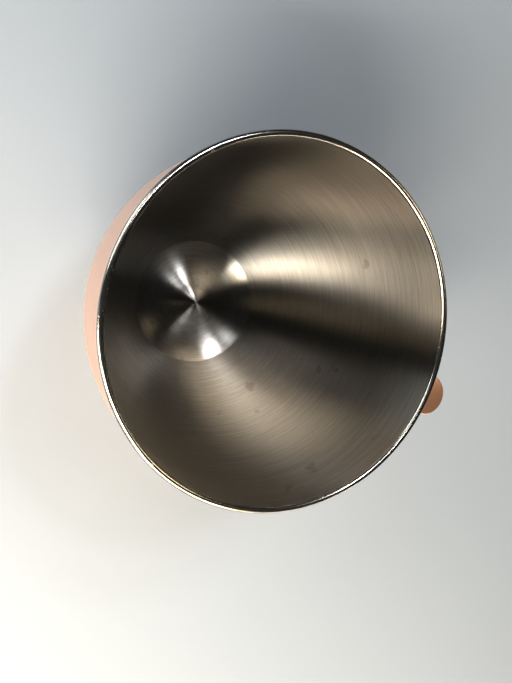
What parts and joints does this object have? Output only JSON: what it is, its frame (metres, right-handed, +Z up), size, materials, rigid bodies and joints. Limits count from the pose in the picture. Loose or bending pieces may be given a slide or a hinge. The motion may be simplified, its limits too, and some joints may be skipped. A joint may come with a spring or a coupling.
{
  "type": "stand mixer bowl",
  "caption": "Deep round metal mixing bowl with a brushed steel inside, rolled steel rim, copper outside, D-loop handle with thumb rest, and a bayonet foot ring.",
  "frame": {"origin": "on the bowl's axis, in the plane that the foot ring stands on", "axes": "+Z up along the bowl's axis to its mouth, +X towards the handle, +Y to the left of the handle as seen from behind it"},
  "size_m": [0.2554, 0.22, 0.19],
  "materials": {
    "brushed_steel": "lathe-brushed inside, polished on the rolled rim",
    "polished_copper": "mirror-polished copper",
    "satin_copper": "satin copper"
  },
  "bodies": {
    "root": {"steel_liner": "brushed_steel", "copper_jacket": "polished_copper", "foot_ring": "polished_copper", "handle_shell": "satin_copper", "handle_thumb_rest": "satin_copper", "handle_finger_strip": "satin_copper", "handle_upper_pad": "polished_copper", "handle_lower_pad": "polished_copper"}
  },
  "joints": []
}
